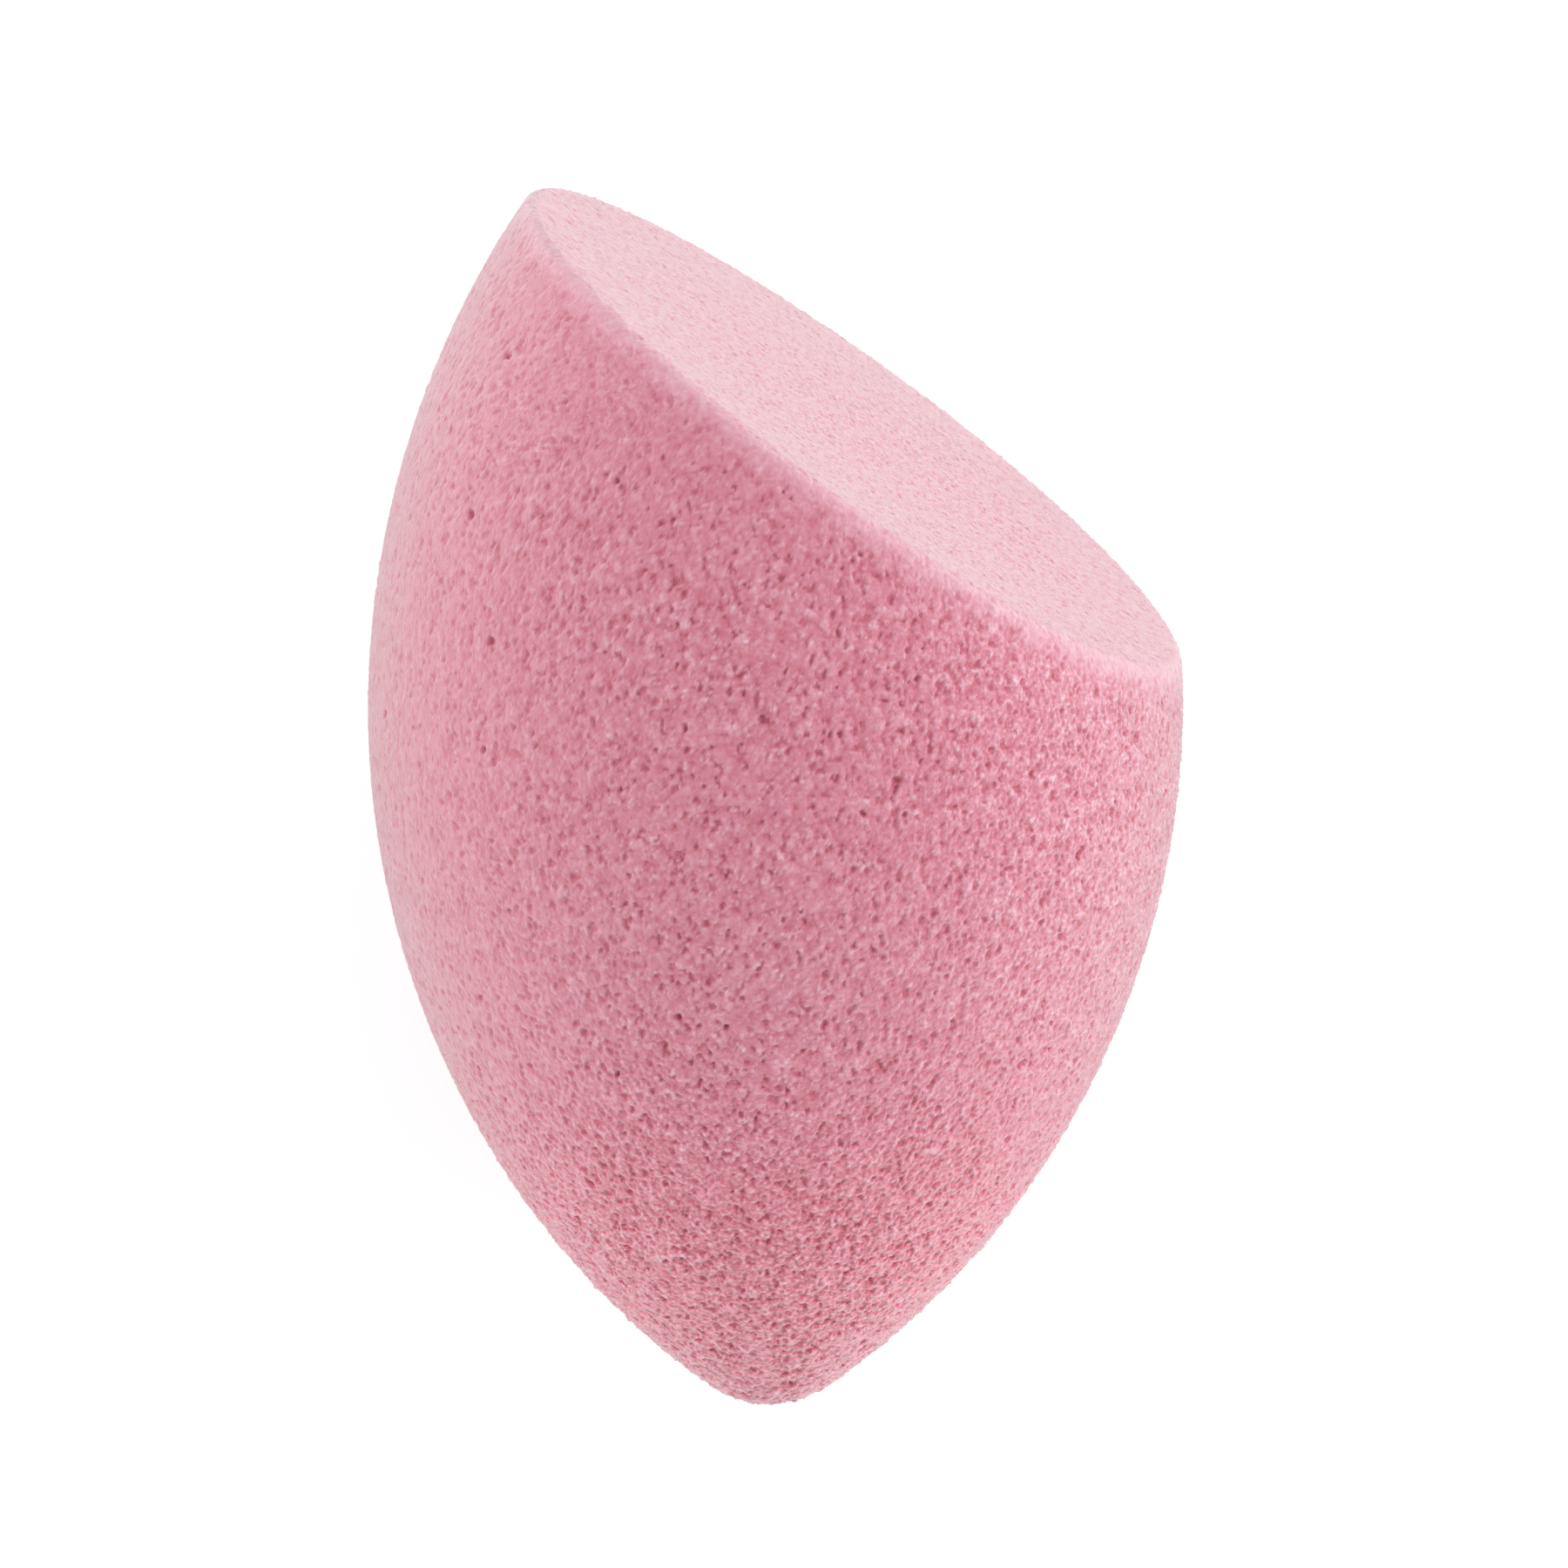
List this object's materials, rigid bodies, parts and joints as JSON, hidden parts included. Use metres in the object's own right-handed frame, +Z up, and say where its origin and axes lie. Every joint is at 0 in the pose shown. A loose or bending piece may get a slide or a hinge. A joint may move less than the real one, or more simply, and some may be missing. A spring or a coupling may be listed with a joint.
{
  "type": "makeup sponge",
  "caption": "Almond-shaped makeup sponge of soft open-cell foam with a rounded tip and a flat slanted face sliced across its upper end, for dabbing and blending.",
  "frame": {"origin": "the middle of the shallow flat on its side where it lies, on the table, under its centre of mass", "axes": "+Z up as it lies on a table; the almond's axis runs along +Y from the tip, with the tip a little lower than the other end; the slanted face looks towards +X and +Y and a little up"},
  "size_m": [0.04, 0.06, 0.0404],
  "materials": {
    "pink_foam": "matte open-cell foam, dusty pink, coarser pores on the moulded flank than on the sliced face"
  },
  "bodies": {
    "root": {"foam_body": "pink_foam"}
  },
  "joints": []
}
